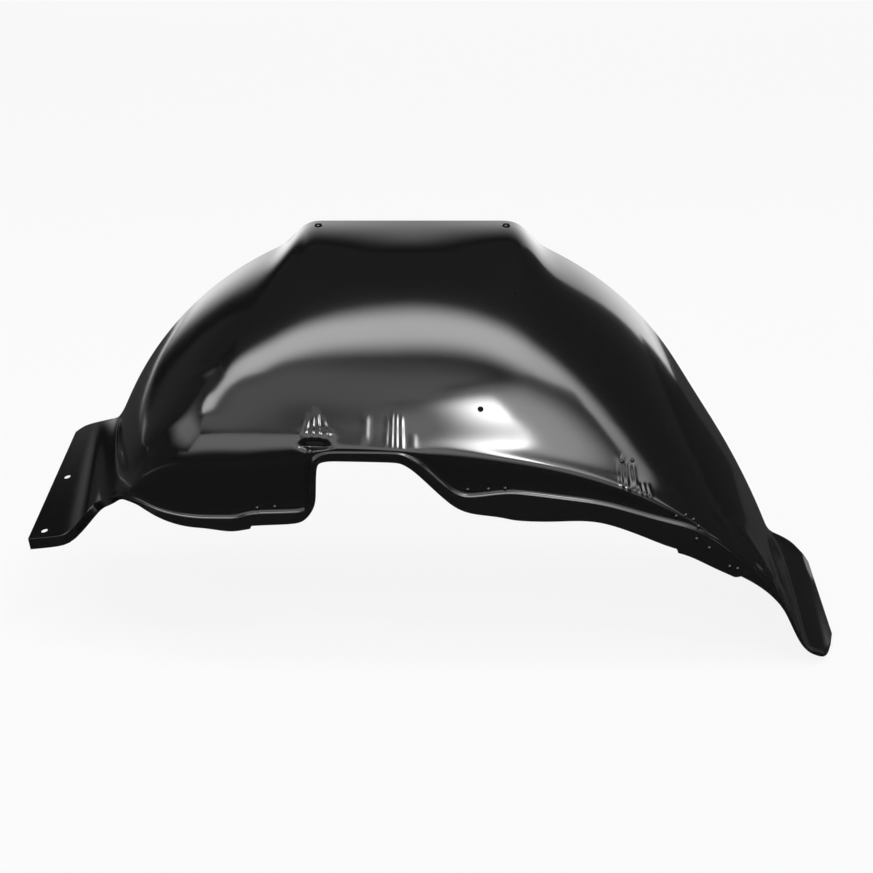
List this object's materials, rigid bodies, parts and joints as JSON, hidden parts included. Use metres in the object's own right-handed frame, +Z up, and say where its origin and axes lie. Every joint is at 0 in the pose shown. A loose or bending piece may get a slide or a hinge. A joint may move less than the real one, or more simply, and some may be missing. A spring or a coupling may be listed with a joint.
{
  "type": "wheel arch liner",
  "caption": "Pressed sheet wheel arch liner: a dome over the tyre with a bolting flange at the crown, a foot flange at each end and a lipped lower edge notched for the suspension arm.",
  "frame": {"origin": "midway between the two holes of the crown flange, on the flange's upper face", "axes": "+X along the car to the end with the trough-like foot, +Y along the axle to the wing side, +Z up"},
  "size_m": [1.0379, 0.3481, 0.487],
  "materials": {
    "black_coat": "gloss black dip coat on pressed steel sheet"
  },
  "bodies": {
    "root": {"wheel_arch_liner": "black_coat"}
  },
  "joints": []
}
